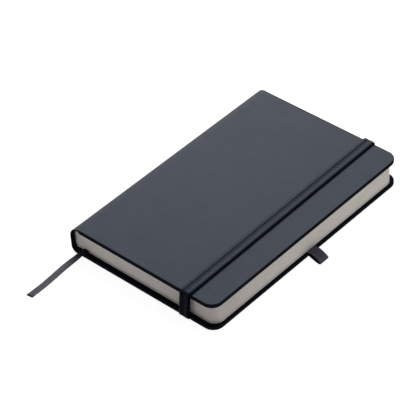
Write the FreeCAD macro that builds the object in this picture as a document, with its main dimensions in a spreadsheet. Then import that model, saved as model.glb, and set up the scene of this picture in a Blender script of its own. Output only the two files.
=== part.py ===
import FreeCAD, Part
import math
import os
import Sketcher

# Pocket notebook, closed, lying on its back cover.  Millimetres.
# Frame: origin at the centre of the back cover's outer face, +X to the fore edge, +Y to the head, +Z up
# through the closed book.  The spine runs along Y on the -X side.

Vector = FreeCAD.Vector
Rotation = FreeCAD.Rotation
X_AXIS = Vector(1, 0, 0)
Y_AXIS = Vector(0, 1, 0)
Z_AXIS = Vector(0, 0, 1)

DIMENSIONS = {
    # The case
    "case_length": 140.0,
    "case_width": 93.5,
    "case_thickness": 16.4,
    "cover_thickness": 2.3,
    "skin_thickness": 0.4,
    "rim_thickness": 1.35,
    "turn_in_width": 12.0,
    "corner_radius": 6.0,
    "shoulder_radius": 6.5,
    "foot_radius": 3.5,
    "spine_liner_thickness": 0.5,
    "board_setback": 0.5,
    "pastedown_thickness": 0.15,
    "pastedown_margin": 2.5,
    # The book block
    "fore_margin": 1.2,
    "tail_margin": 2.4,
    "page_corner_radius": 5.5,
    "leaf_gap": 0.02,
    "flyleaf_thickness": 0.12,
    "signature_thickness": 0.911,
    "fold_radius": 0.35,
    "block_clearance": 0.07,
    "lining_thickness": 0.18,
    "thread_diameter": 0.24,
    "stitch_spacing": 24.0,
    "middle_setback": 0.1,
    # The ribbon marker
    "ribbon_width": 4.0,
    "ribbon_thickness": 0.25,
    "ribbon_inset": 8.85,
    # The elastic band
    "band_width": 6.5,
    "band_thickness": 1.0,
    "band_inset": 18.65,
    "band_bend_radius": 0.55,
    "band_clearance": 0.05,
    "band_channel_length": 14.0,
    "anchor_length": 10.0,
    "anchor_thickness": 1.0,
    # The pen loop
    "loop_width": 6.3,
    "loop_reach": 7.05,
    "loop_radius": 1.05,
    "loop_ply": 0.5,
    "loop_droop": 4.5,
    "loop_station": 1.25,
    "loop_standoff": 0.6,
    "loop_root_height": 1.65,
    "loop_root_gap": 0.05,
    "tab_length": 11.0,
}

SIGNATURE_COUNT = 12
STITCH_STATIONS = 5

# Angles in degrees, from +X towards +Z.  Each rounded corner of the spine is shared at its middle
# between the cover and the spine strip.
HALF_CORNER = 45
FOOT_START = 180
SHOULDER_START = 90
FULL_TURN = 360
GAUZE_END = 180
GAUZE_SWEEP = 38

# How close two lengths must be to count as the same place, in millimetres
TOLERANCE = 1e-3

# Share of each straight run of the ribbon's route that its bends may take up at either end
BEND_SHARE = 0.45

# The loose end of the ribbon: leaves the block, drops over the tail edge and lies on the table.
RIBBON_ROUTE = [
    Vector(-37.9, -67.6, 3.516),
    Vector(-38.7, -70.2, 3.40),
    Vector(-39.7, -73.0, 1.30),
    Vector(-40.2, -76.2, 0.13),
    Vector(-40.35, -81.6, 0.13),
    Vector(-40.2, -89.6, 0.13),
    Vector(-39.95, -98.1, 0.13),
    Vector(-39.6, -106.4, 0.13),
]

document = FreeCAD.newDocument("PocketNotebook")
sheet = document.addObject("Spreadsheet::Sheet", "Sizes")
for row, (alias, number) in enumerate(DIMENSIONS.items(), start=1):
    sheet.set("A%d" % row, alias)
    sheet.set("B%d" % row, str(number))
    sheet.setAlias("B%d" % row, alias)
document.recompute()


class Size:
    """A number that remembers the spreadsheet formula it comes from."""

    def __init__(self, value, text):
        self.value = value
        self.text = text

    @staticmethod
    def of(other):
        return other if isinstance(other, Size) else Size(other, repr(float(other)))

    def __add__(self, other):
        other = Size.of(other)
        return Size(self.value + other.value, "(%s + %s)" % (self.text, other.text))

    def __sub__(self, other):
        other = Size.of(other)
        return Size(self.value - other.value, "(%s - %s)" % (self.text, other.text))

    def __mul__(self, other):
        other = Size.of(other)
        return Size(self.value * other.value, "(%s * %s)" % (self.text, other.text))

    def __truediv__(self, other):
        other = Size.of(other)
        return Size(self.value / other.value, "(%s / %s)" % (self.text, other.text))

    def __neg__(self):
        return Size(-self.value, "(0 - %s)" % self.text)

    def root(self):
        return Size(math.sqrt(self.value), "sqrt(%s)" % self.text)


def size(alias):
    return Size(sheet.get(alias), "Sizes." + alias)


def bind(item, path, amount):
    item.setExpression(path, Size.of(amount).text)


# Places worked out from the driving dimensions
half_length = size("case_length") / 2
spine_face = -(size("case_width") / 2)
fore_edge = size("case_width") / 2
case_top = size("case_thickness")
wrap_thickness = size("cover_thickness") - size("pastedown_thickness")
board_bottom = size("skin_thickness")
rim_top = board_bottom + size("rim_thickness")
back_wrap_start = spine_face + size("foot_radius")
front_wrap_start = spine_face + size("shoulder_radius")
board_half_length = half_length - size("skin_thickness")
board_fore_edge = fore_edge - size("skin_thickness")
board_corner = size("corner_radius") - size("skin_thickness")
window_fore_edge = fore_edge - size("turn_in_width")
window_half_length = half_length - size("turn_in_width")
page_half_length = half_length - size("tail_margin")
page_fore_edge = fore_edge - size("fore_margin")
spine_thickness = size("skin_thickness") + size("spine_liner_thickness")
lining_face = spine_face + spine_thickness + size("block_clearance")
thread_line = lining_face + size("lining_thickness") + size("leaf_gap") + size("thread_diameter") / 2
page_spine_edge = thread_line + size("thread_diameter") / 2 + size("leaf_gap") * 2
shoulder_height = case_top - size("shoulder_radius")
back_flyleaf_bottom = size("cover_thickness") + size("leaf_gap")
last_signature_bottom = back_flyleaf_bottom + size("flyleaf_thickness") + size("leaf_gap")
signature_pitch = size("signature_thickness") + size("leaf_gap")
ribbon_bottom = last_signature_bottom + signature_pitch
above_ribbon = ribbon_bottom + size("ribbon_thickness") + size("leaf_gap")
front_flyleaf_bottom = above_ribbon + signature_pitch * (SIGNATURE_COUNT - 1)
middle_height = above_ribbon + signature_pitch * (SIGNATURE_COUNT / 2 - 1) - size("leaf_gap") / 2
band_line = fore_edge - size("band_inset")
band_across = (band_line - size("band_width") / 2, band_line + size("band_width") / 2)
band_channel_end = half_length - size("band_channel_length")
band_channel_half_width = size("band_width") / 2 + size("band_clearance")
loop_root = fore_edge + size("loop_standoff")


def new_body(label):
    body = document.addObject("PartDesign::Body", label)
    body.Label = label
    return body


def place(feature, x, y, z, rotation=Rotation()):
    """Put a primitive at a bound position; the rotation is fixed."""
    feature.Placement = FreeCAD.Placement(Vector(0, 0, 0), rotation)
    bind(feature, "Placement.Base.x", x)
    bind(feature, "Placement.Base.y", y)
    bind(feature, "Placement.Base.z", z)


def box(body, name, x, y, z, cut=False):
    """Add or cut a box; x, y and z are (low, high) pairs of sizes."""
    feature = body.newObject("PartDesign::SubtractiveBox" if cut else "PartDesign::AdditiveBox", name)
    for side, (low, high) in zip(("Length", "Width", "Height"), (x, y, z)):
        bind(feature, side, Size.of(high) - low)
    place(feature, x[0], y[0], z[0])
    return feature


def sector(body, name, centre_x, centre_z, radius, start, sweep, half_width, cut=False):
    """Add or cut a slice of a cylinder along Y; angles run from +X towards +Z."""
    kind = "PartDesign::SubtractiveCylinder" if cut else "PartDesign::AdditiveCylinder"
    feature = body.newObject(kind, name)
    bind(feature, "Radius", radius)
    bind(feature, "Height", Size.of(half_width) * 2)
    feature.Angle = sweep
    place(feature, centre_x, half_width, centre_z, Rotation(X_AXIS, 90) * Rotation(Z_AXIS, start))
    return feature


def origin_plane(body, role):
    return next(item for item in body.Origin.OriginFeatures if item.Role == role)


def outline(body, name, left, right, half_width, corner, bottom):
    """A sheet outline: square corners on the spine side, round ones at the fore edge."""
    sketch = body.newObject("Sketcher::SketchObject", name)
    sketch.AttachmentSupport = (origin_plane(body, "XY_Plane"), [""])
    sketch.MapMode = "FlatFace"
    bind(sketch, "AttachmentOffset.Base.x", left)
    bind(sketch, "AttachmentOffset.Base.z", bottom)
    span = Size.of(right) - left
    far, side, radius = span.value, Size.of(half_width).value, Size.of(corner).value
    tail_centre = Vector(far - radius, radius - side, 0)
    head_centre = Vector(far - radius, side - radius, 0)
    quarter = math.pi / 2
    sketch.addGeometry([
        Part.LineSegment(Vector(0, -side, 0), Vector(far - radius, -side, 0)),
        Part.ArcOfCircle(Part.Circle(tail_centre, Z_AXIS, radius), -quarter, 0),
        Part.LineSegment(Vector(far, radius - side, 0), Vector(far, side - radius, 0)),
        Part.ArcOfCircle(Part.Circle(head_centre, Z_AXIS, radius), 0, quarter),
        Part.LineSegment(Vector(far - radius, side, 0), Vector(0, side, 0)),
        Part.LineSegment(Vector(0, side, 0), Vector(0, -side, 0)),
    ], False)
    sketch.addConstraint([
        Sketcher.Constraint("Tangent", 0, 2, 1, 1),
        Sketcher.Constraint("Tangent", 1, 2, 2, 1),
        Sketcher.Constraint("Tangent", 2, 2, 3, 1),
        Sketcher.Constraint("Tangent", 3, 2, 4, 1),
        Sketcher.Constraint("Coincident", 4, 2, 5, 1),
        Sketcher.Constraint("Coincident", 5, 2, 0, 1),
        Sketcher.Constraint("Horizontal", 0),
        Sketcher.Constraint("Vertical", 2),
        Sketcher.Constraint("Equal", 1, 3),
        Sketcher.Constraint("Symmetric", 5, 1, 5, 2, -1, 1),
        Sketcher.Constraint("Vertical", 5),
    ])
    measures = (
        ("span", Sketcher.Constraint("Distance", 2, 2, 5, far), span),
        ("height", Sketcher.Constraint("Distance", 5, 2 * side), Size.of(half_width) * 2),
        ("corner", Sketcher.Constraint("Radius", 1, radius), corner),
    )
    for label, constraint, amount in measures:
        index = sketch.addConstraint(constraint)
        sketch.renameConstraint(index, label)
        bind(sketch, "Constraints." + label, amount)
    return sketch


def sheet_pad(body, name, left, right, half_width, corner, bottom, thickness):
    """A flat sheet or slab with the outline above."""
    sketch = outline(body, name + "Outline", left, right, half_width, corner, bottom)
    pad = body.newObject("PartDesign::Pad", name)
    pad.Profile = sketch
    bind(pad, "Length", thickness)
    document.recompute()
    return pad


def sheet_pocket(body, name, left, right, half_width, corner, top, depth):
    """A closed space of the same outline, cut downwards from its top."""
    sketch = outline(body, name + "Outline", left, right, half_width, corner, top)
    before = body.Shape.Volume
    pocket = body.newObject("PartDesign::Pocket", name)
    pocket.Profile = sketch
    bind(pocket, "Length", depth)
    document.recompute()
    if body.Shape.Volume >= before:
        raise RuntimeError("%s cut nothing" % name)
    return pocket


def round_edges(body, name, base, wanted, radius):
    """Fillet the edges of a feature that the test picks out."""
    document.recompute()
    names = ["Edge%d" % (index + 1) for index, edge in enumerate(base.Shape.Edges) if wanted(edge)]
    fillet = body.newObject("PartDesign::Fillet", name)
    fillet.Base = (base, names)
    bind(fillet, "Radius", radius)
    document.recompute()
    return fillet


def runs_along(edge, axis):
    line = edge.lastVertex().Point - edge.firstVertex().Point
    return line.Length > TOLERANCE and line.cross(axis).Length < TOLERANCE


def cover_board(label, start, bottom, raised_side):
    """Stiff board, thinner under the skin's turned-in rim so that the inside stays flush."""
    body = new_body(label)
    sheet_pad(body, label + "_rim", start, board_fore_edge, board_half_length, board_corner,
              bottom, size("rim_thickness"))
    pad_thickness = wrap_thickness - rim_top
    pad_bottom = bottom + size("rim_thickness") if raised_side > 0 else bottom - pad_thickness
    box(body, label + "_raised_field", (start, window_fore_edge),
        (-window_half_length, window_half_length), (pad_bottom, pad_bottom + pad_thickness))
    return body


def cover_wrap(label, start, bottom, up, centre_z, radius, first_angle):
    """Skin of one cover: a tray open at the spine, with turned-in rims and a curved lip to the spine.

    up is +1 where the outer face is below (back cover) and -1 where it is above (front cover).
    """
    body = new_body(label)
    sheet_pad(body, label + "_slab", start, fore_edge, half_length, size("corner_radius"),
              bottom, wrap_thickness)
    if up > 0:
        cavity_top = bottom + rim_top
        window = (bottom + rim_top, bottom + wrap_thickness)
    else:
        cavity_top = bottom + wrap_thickness - board_bottom
        window = (bottom, bottom + wrap_thickness - rim_top)
    sheet_pocket(body, label + "_board_space", start, board_fore_edge, board_half_length, board_corner,
                 cavity_top, size("rim_thickness"))
    box(body, label + "_window", (start, window_fore_edge),
        (-window_half_length, window_half_length), window, cut=True)
    sector(body, label + "_lip", start, centre_z, radius, first_angle, HALF_CORNER, half_length)
    sector(body, label + "_lip_inside", start, centre_z, radius - size("skin_thickness"),
           first_angle, HALF_CORNER, half_length, cut=True)
    document.recompute()
    return body


def cut_band_channels(body):
    """Flush channels under the back cover for the band, and the slots its ends go through."""
    across = (band_line - band_channel_half_width, band_line + band_channel_half_width)
    depth = size("band_thickness") + size("band_clearance")
    slot_start = band_channel_end - size("anchor_thickness") - size("band_clearance")
    pocket_end = slot_start - size("anchor_length")
    pocket = (wrap_thickness - size("anchor_thickness") - size("band_clearance"), wrap_thickness)
    for side, sign in (("tail", -1), ("head", 1)):
        spans = {
            "channel": ((band_channel_end, half_length), (0, depth)),
            "slot": ((slot_start, band_channel_end), (0, wrap_thickness)),
            "pocket": ((pocket_end, slot_start), pocket),
        }
        for kind, ((near, far), height) in spans.items():
            along = (near, far) if sign > 0 else (-far, -near)
            box(body, "%s_%s_%s" % (body.Label, side, kind), across, along, height, cut=True)


def cut_loop_recess(body):
    """Recess in the back cover's inner face for the pen loop's glued tab."""
    clearance = size("band_clearance")
    across = (size("loop_station") - size("loop_width") / 2 - clearance,
              size("loop_station") + size("loop_width") / 2 + clearance)
    depth = size("loop_ply") * 2 + clearance
    box(body, body.Label + "_loop_recess", (fore_edge - size("tab_length") - clearance, fore_edge), across,
        (wrap_thickness - depth, wrap_thickness), cut=True)


def back_board():
    body = cover_board("back_board", back_wrap_start + size("board_setback"), board_bottom, +1)
    cut_band_channels(body)
    cut_loop_recess(body)
    return body


def front_board():
    bottom = case_top - rim_top
    return cover_board("front_board", front_wrap_start + size("board_setback"), bottom, -1)


def back_cover_wrap():
    body = cover_wrap("back_cover_wrap", back_wrap_start, Size.of(0), +1,
                      size("foot_radius"), size("foot_radius"), FOOT_START + HALF_CORNER)
    cut_band_channels(body)
    cut_loop_recess(body)
    return body


def front_cover_wrap():
    return cover_wrap("front_cover_wrap", front_wrap_start, case_top - wrap_thickness, -1,
                      shoulder_height, size("shoulder_radius"), SHOULDER_START)


def spine_strip(label, inset, thickness, half_width):
    """Upright strip with half of each rounded corner of the spine."""
    body = new_body(label)
    foot_x = spine_face + size("foot_radius")
    shoulder_x = spine_face + size("shoulder_radius")
    corners = (
        ("foot", foot_x, size("foot_radius"), size("foot_radius") - inset, FOOT_START),
        ("shoulder", shoulder_x, shoulder_height, size("shoulder_radius") - inset,
         SHOULDER_START + HALF_CORNER),
    )
    outer = spine_face + inset
    box(body, label + "_web", (outer, outer + thickness), (-half_width, half_width),
        (size("foot_radius"), shoulder_height))
    for name, centre_x, centre_z, radius, start in corners:
        sector(body, label + "_" + name, centre_x, centre_z, radius, start, HALF_CORNER, half_width)
        sector(body, label + "_" + name + "_inside", centre_x, centre_z, radius - thickness,
               start, HALF_CORNER, half_width, cut=True)
    return body


def pastedown(label, start, bottom):
    """End sheet glued over the boards and the turned-in skin."""
    body = new_body(label)
    margin = size("pastedown_margin")
    sheet_pad(body, label + "_sheet", start + size("board_setback"), fore_edge - margin,
              half_length - margin, size("corner_radius") - margin, bottom, size("pastedown_thickness"))
    return body


def spine_edge_at(top):
    """Where a leaf that reaches this height must start to stay inside the spine's round shoulder."""
    if top.value <= shoulder_height.value:
        return page_spine_edge
    reach = front_wrap_start - page_spine_edge
    rise = top - shoulder_height
    return front_wrap_start - (reach * reach - rise * rise).root()


def leaves(label, spine_edge, bottom, thickness):
    """A flat stack of paper with round fore corners."""
    body = new_body(label)
    pad = sheet_pad(body, label + "_leaves", spine_edge, page_fore_edge, page_half_length,
                    size("page_corner_radius"), bottom, thickness)
    return body, pad


def signature_bottom(number):
    """Signature 1 lies under the front cover; the ribbon lies above the last one."""
    if number == SIGNATURE_COUNT:
        return last_signature_bottom
    return above_ribbon + signature_pitch * (SIGNATURE_COUNT - 1 - number)


def signature(number):
    """A folded section of the block: flat leaves, rounded where they fold at the spine."""
    bottom = signature_bottom(number)
    spine_edge = spine_edge_at(bottom + size("signature_thickness"))
    if number in (SIGNATURE_COUNT // 2, SIGNATURE_COUNT // 2 + 1):
        spine_edge = spine_edge + size("middle_setback")
    label = "signature_%02d" % number
    body, pad = leaves(label, spine_edge, bottom, size("signature_thickness"))

    def is_fold(edge):
        return runs_along(edge, Y_AXIS) and abs(edge.firstVertex().Point.x - spine_edge.value) < TOLERANCE

    round_edges(body, label + "_fold", pad, is_fold, size("fold_radius"))
    return body


def front_flyleaf():
    spine_edge = spine_edge_at(front_flyleaf_bottom + size("flyleaf_thickness"))
    return leaves("front_flyleaf", spine_edge, front_flyleaf_bottom, size("flyleaf_thickness"))[0]


def back_flyleaf():
    return leaves("back_flyleaf", page_spine_edge + size("middle_setback"), back_flyleaf_bottom,
                  size("flyleaf_thickness"))[0]


def back_spine_lining():
    """Half of the gauze glued over the folds, on the signatures that stay with the back cover."""
    body = new_body("back_spine_lining")
    box(body, "back_gauze", (lining_face, lining_face + size("lining_thickness")),
        (-page_half_length, page_half_length), (size("foot_radius"), middle_height - size("leaf_gap")))
    return body


def front_spine_lining():
    """The other half, which follows the round shoulder and turns with the front signatures."""
    body = new_body("front_spine_lining")
    outer = front_wrap_start - lining_face
    start = GAUZE_END - GAUZE_SWEEP
    box(body, "front_gauze", (lining_face, lining_face + size("lining_thickness")),
        (-page_half_length, page_half_length), (middle_height + size("leaf_gap"), shoulder_height))
    sector(body, "front_gauze_shoulder", front_wrap_start, shoulder_height, outer,
           start, GAUZE_SWEEP, page_half_length)
    sector(body, "front_gauze_shoulder_inside", front_wrap_start, shoulder_height,
           outer - size("lining_thickness"), start, GAUZE_SWEEP, page_half_length, cut=True)
    return body


def sewing_thread(label, bottom, top):
    """Stitches that run across the folds under the lining, at evenly spaced stations."""
    stitches = []
    for station in range(STITCH_STATIONS):
        stitch = document.addObject("Part::Cylinder", "%s_stitch_%d" % (label, station + 1))
        bind(stitch, "Radius", size("thread_diameter") / 2)
        bind(stitch, "Height", top - bottom)
        place(stitch, thread_line, size("stitch_spacing") * (station - (STITCH_STATIONS - 1) / 2), bottom)
        stitches.append(stitch)
    group = document.addObject("Part::Compound", label)
    group.Links = stitches
    group.Label = label
    return group


def elastic_band():
    """Band across the front cover, down both ends and flush under the back cover to its slots."""
    body = new_body("elastic_band")
    thickness = size("band_thickness")
    clearance = size("band_clearance")
    inner_y = half_length + clearance
    inner_top = case_top + clearance
    outer_y = inner_y + thickness
    outer_top = inner_top + thickness
    block = box(body, "band_block", band_across, (-outer_y, outer_y), (0, outer_top))

    def is_outer_corner(edge):
        return runs_along(edge, X_AXIS)

    round_edges(body, "band_bends", block, is_outer_corner, size("band_bend_radius"))
    box(body, "band_inside", band_across, (-inner_y, inner_y), (thickness, inner_top), cut=True)
    box(body, "band_gap", band_across, (-band_channel_end, band_channel_end), (0, thickness), cut=True)
    return body


def band_anchor(label, sign):
    """End of the band inside the back cover: through the slot, then glued flat under the pastedown."""
    body = new_body(label)
    slot_outer = band_channel_end - size("band_clearance")
    slot_inner = slot_outer - size("anchor_thickness") + size("band_clearance")
    tab_end = slot_inner - size("anchor_length") + size("band_clearance")
    spans = (
        ("riser", (slot_inner, slot_outer), (size("band_clearance"), wrap_thickness)),
        ("tab", (tab_end, slot_inner), (wrap_thickness - size("anchor_thickness"), wrap_thickness)),
    )
    for name, (near, far), height in spans:
        along = (near, far) if sign > 0 else (-far, -near)
        box(body, label + "_" + name, band_across, along, height)
    return body


def pen_loop():
    """Flattened loop of elastic that droops from the back cover's fore edge to the table."""
    body = new_body("pen_loop")
    radius = size("loop_radius")
    hollow = radius - size("loop_ply")
    knuckle = size("loop_ply")
    half_width = size("loop_width") / 2
    root = knuckle
    box(body, "loop_plies", (root, size("loop_reach")), (-half_width, half_width), (-radius, radius))
    sector(body, "loop_tip", size("loop_reach"), Size.of(0), radius, 0, FULL_TURN, half_width)
    box(body, "loop_hollow", (root + size("loop_ply"), size("loop_reach")), (-half_width, half_width),
        (-hollow, hollow), cut=True)
    sector(body, "loop_tip_hollow", size("loop_reach"), Size.of(0), hollow, 0, FULL_TURN, half_width,
           cut=True)
    sector(body, "loop_knuckle", Size.of(0), Size.of(0), knuckle, 0, FULL_TURN, half_width)
    box(body, "loop_knuckle_web", (0, root), (-half_width, half_width), (-knuckle, knuckle))
    droop = Rotation(Y_AXIS, size("loop_droop").value)
    body.Placement = FreeCAD.Placement(Vector(0, 0, 0), droop)
    bind(body, "Placement.Base.x", loop_root)
    bind(body, "Placement.Base.y", size("loop_station"))
    bind(body, "Placement.Base.z", size("loop_root_height"))
    return body


def pen_loop_tab():
    """Double ply of the loop's elastic, glued into the back cover's recess."""
    body = new_body("pen_loop_tab")
    across = (size("loop_station") - size("loop_width") / 2, size("loop_station") + size("loop_width") / 2)
    free_end = loop_root - size("loop_ply") - size("loop_root_gap")
    box(body, "tab_plies", (fore_edge - size("tab_length"), free_end), across,
        (wrap_thickness - size("loop_ply") * 2, wrap_thickness))
    return body


def ribbon_inside():
    """The part of the ribbon that lies between the last two signatures, up to the head."""
    body = new_body("ribbon_inside")
    line = spine_face + size("ribbon_inset")
    box(body, "ribbon_strip", (line - size("ribbon_width") / 2, line + size("ribbon_width") / 2),
        (-page_half_length, page_half_length), (ribbon_bottom, ribbon_bottom + size("ribbon_thickness")))
    return body


def rounded_route(points):
    """Straight runs joined by tangent arcs, each arc as large as its two runs allow."""
    edges = []
    start = points[0]
    for before, corner, after in zip(points, points[1:], points[2:]):
        arriving = (corner - before).normalize()
        leaving = (after - corner).normalize()
        half_turn = arriving.getAngle(leaving) / 2
        setback = BEND_SHARE * min((corner - before).Length, (after - corner).Length)
        radius = setback / math.tan(half_turn)
        print("ribbon bend radius %.1f mm" % radius)
        enter = corner - arriving * setback
        leave = corner + leaving * setback
        inward = (leaving - arriving).normalize()
        middle = corner + inward * (radius / math.cos(half_turn) - radius)
        edges.append(Part.LineSegment(start, enter).toShape())
        edges.append(Part.Arc(enter, middle, leave).toShape())
        start = leave
    edges.append(Part.LineSegment(start, points[-1]).toShape())
    return Part.Wire(edges)


def ribbon_marker():
    """The loose end of the ribbon: a flat strip swept along its route."""
    route = rounded_route(RIBBON_ROUTE)
    half_width = size("ribbon_width").value / 2
    half_thickness = size("ribbon_thickness").value / 2
    start = RIBBON_ROUTE[0]
    corners = [start + Vector(x * half_width, 0, z * half_thickness)
               for x, z in ((-1, -1), (1, -1), (1, 1), (-1, 1), (-1, -1))]
    sweep = Part.BRepOffsetAPI.MakePipeShell(route)
    sweep.setBiNormalMode(X_AXIS)
    sweep.add(Part.makePolygon(corners))
    sweep.build()
    sweep.makeSolid()
    ribbon = document.addObject("Part::Feature", "ribbon_marker")
    ribbon.Label = "ribbon_marker"
    ribbon.Shape = sweep.shape()
    ribbon.Placement = FreeCAD.Placement()
    expected = route.Length * size("ribbon_width").value * size("ribbon_thickness").value
    print("ribbon route %.1f mm, volume %.2f of %.2f" % (route.Length, ribbon.Shape.Volume, expected))
    return ribbon


def build_parts():
    parts = [
        back_board(),
        back_cover_wrap(),
        pastedown("back_pastedown", back_wrap_start, wrap_thickness),
        band_anchor("band_anchor_tail", -1),
        band_anchor("band_anchor_head", +1),
        front_board(),
        front_cover_wrap(),
        pastedown("front_pastedown", front_wrap_start, case_top - size("cover_thickness")),
        spine_strip("spine_wrap", Size.of(0), size("skin_thickness"), half_length),
        spine_strip("spine_liner", size("skin_thickness"), size("spine_liner_thickness"),
                    half_length - size("tail_margin")),
        back_flyleaf(),
        front_flyleaf(),
        back_spine_lining(),
        front_spine_lining(),
        sewing_thread("back_sewing_thread", last_signature_bottom, middle_height - size("leaf_gap")),
        sewing_thread("front_sewing_thread", middle_height + size("leaf_gap"),
                      shoulder_height + size("signature_thickness")),
        elastic_band(),
        pen_loop(),
        pen_loop_tab(),
        ribbon_inside(),
        ribbon_marker(),
    ]
    parts += [signature(number) for number in range(1, SIGNATURE_COUNT + 1)]
    return parts


def check_and_write(parts):
    document.recompute()
    for item in document.Objects:
        if "Invalid" in item.State or "Error" in item.State:
            raise RuntimeError("%s failed: %s" % (item.Label, item.State))
    os.makedirs("parts", exist_ok=True)
    for item in parts:
        shape = item.Shape
        if shape.isNull() or not shape.isValid():
            raise RuntimeError("%s has no valid shape" % item.Label)
    for item in parts:
        item.Shape.exportStep("parts/%s.step" % item.Label)
        bounds = item.Shape.BoundBox
        print("%-22s solids %d volume %9.2f  x %7.2f..%6.2f y %7.2f..%6.2f z %6.2f..%5.2f" % (
            item.Label, len(item.Shape.Solids), item.Shape.Volume,
            bounds.XMin, bounds.XMax, bounds.YMin, bounds.YMax, bounds.ZMin, bounds.ZMax))


check_and_write(build_parts())
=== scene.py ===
import bpy
import math
import random
from mathutils import Matrix, Vector


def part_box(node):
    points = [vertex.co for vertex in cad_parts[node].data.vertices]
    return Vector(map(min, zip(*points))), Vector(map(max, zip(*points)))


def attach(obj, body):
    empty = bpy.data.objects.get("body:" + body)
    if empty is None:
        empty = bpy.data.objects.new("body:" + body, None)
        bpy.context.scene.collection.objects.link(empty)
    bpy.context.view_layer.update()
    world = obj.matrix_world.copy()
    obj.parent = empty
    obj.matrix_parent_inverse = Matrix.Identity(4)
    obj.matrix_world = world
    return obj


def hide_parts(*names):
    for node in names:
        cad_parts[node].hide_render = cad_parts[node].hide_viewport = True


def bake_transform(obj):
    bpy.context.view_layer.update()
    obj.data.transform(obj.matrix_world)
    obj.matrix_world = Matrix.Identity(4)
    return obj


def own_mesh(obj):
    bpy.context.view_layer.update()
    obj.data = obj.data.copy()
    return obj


# Pocket notebook, closed, lying on its back cover.  Lengths below are in millimetres and are turned
# into metres where a mesh is made; the frame is the CAD model's own.

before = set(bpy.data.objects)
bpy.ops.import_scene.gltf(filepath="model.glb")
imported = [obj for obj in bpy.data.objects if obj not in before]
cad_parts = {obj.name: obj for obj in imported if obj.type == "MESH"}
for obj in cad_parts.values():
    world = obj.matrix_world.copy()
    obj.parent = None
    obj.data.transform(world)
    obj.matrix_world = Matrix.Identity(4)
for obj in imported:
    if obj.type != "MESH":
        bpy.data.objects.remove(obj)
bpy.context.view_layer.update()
scene = bpy.context.scene
MM = 0.001


def node_box(node):
    """Lowest and highest corner of a CAD node, in millimetres."""
    low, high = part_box(node)
    return Vector(low) / MM, Vector(high) / MM


def smooth(t):
    """Eased step from 0 to 1 as t goes from 0 to 1."""
    t = min(max(t, 0.0), 1.0)
    return t * t * (3 - 2 * t)


# ---------------------------------------------------------------- camera

CAMERA_ANGLES = (44.0317, 40.8808, -3.7964)  # azimuth, elevation and roll, in degrees
CAMERA_TARGET = Vector((-13.6168, -5.3054, 0.0))
CAMERA_DISTANCE = 1006.7469
CAMERA_LENS = 172.91
CAMERA_SENSOR = 36.0


def add_camera():
    azimuth, elevation, roll = (math.radians(a) for a in CAMERA_ANGLES)
    back = Vector((math.sin(azimuth) * math.cos(elevation), -math.cos(azimuth) * math.cos(elevation),
                   math.sin(elevation)))
    right = Vector((0, 0, 1)).cross(back).normalized()
    up = back.cross(right)
    turned_right = right * math.cos(roll) + up * math.sin(roll)
    turned_up = up * math.cos(roll) - right * math.sin(roll)
    data = bpy.data.cameras.new("camera")
    data.lens = CAMERA_LENS
    data.sensor_width = CAMERA_SENSOR
    data.clip_start, data.clip_end = 0.01, 20.0
    camera = bpy.data.objects.new("camera", data)
    scene.collection.objects.link(camera)
    turn = Matrix((turned_right, turned_up, back)).transposed().to_4x4()
    camera.matrix_world = Matrix.Translation((CAMERA_TARGET + back * CAMERA_DISTANCE) * MM) @ turn
    scene.camera = camera


add_camera()


# ---------------------------------------------------------------- node helpers

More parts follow.
